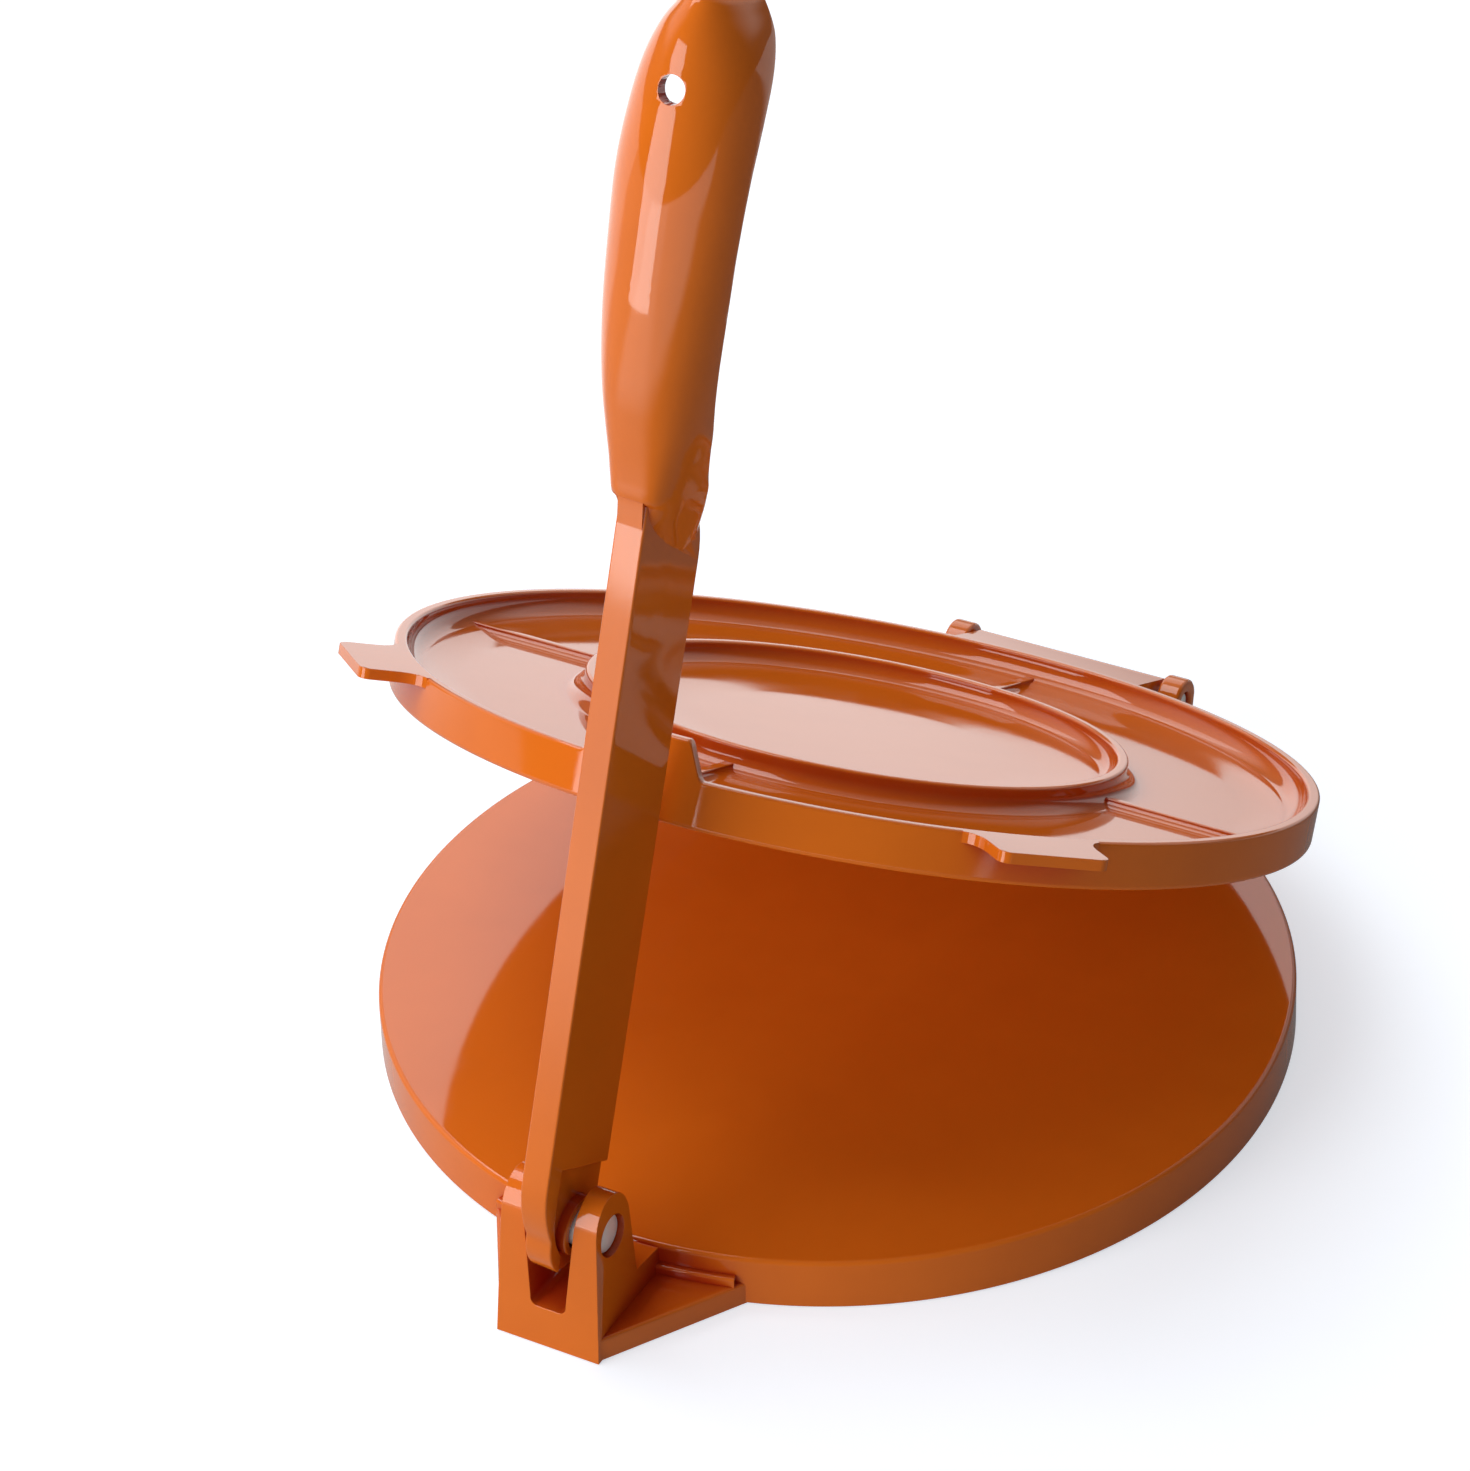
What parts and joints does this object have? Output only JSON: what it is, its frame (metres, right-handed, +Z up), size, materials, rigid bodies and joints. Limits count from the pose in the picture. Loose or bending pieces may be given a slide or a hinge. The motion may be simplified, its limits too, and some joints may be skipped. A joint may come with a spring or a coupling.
{
  "type": "tortilla press",
  "caption": "Round cast dough press: a flat base disc, a hinged top plate with a stiffening ring and lift tabs, and a long hand lever pinned in a clevis opposite the hinge.",
  "frame": {"origin": "centre of the base disc, on the surface that the press stands on", "axes": "+Z up; the lever's clevis is at -Y, the hinge at +Y, and both pins run along X"},
  "size_m": [0.2004, 0.2503, 0.2752],
  "materials": {
    "orange_enamel": "gloss orange enamel over cast aluminium",
    "pin_steel": "bright drawn steel rod"
  },
  "bodies": {
    "base": {"base_casting": "orange_enamel", "lever_pivot_pin": "pin_steel", "hinge_pin": "pin_steel"},
    "top_plate": {"top_plate_casting": "orange_enamel"},
    "lever": {"lever_casting": "orange_enamel"}
  },
  "joints": [
    {"name": "plate_hinge", "type": "hinge", "parent": "base", "child": "top_plate", "pos_m": [0, 0.1173, 0.0156], "axis": [-1, 0, 0], "range_deg": [-24.8, 78]},
    {"name": "lever_pivot", "type": "hinge", "parent": "base", "child": "lever", "pos_m": [0, -0.1152, 0.026], "axis": [1, 0, 0], "range_deg": [0, 103]}
  ]
}
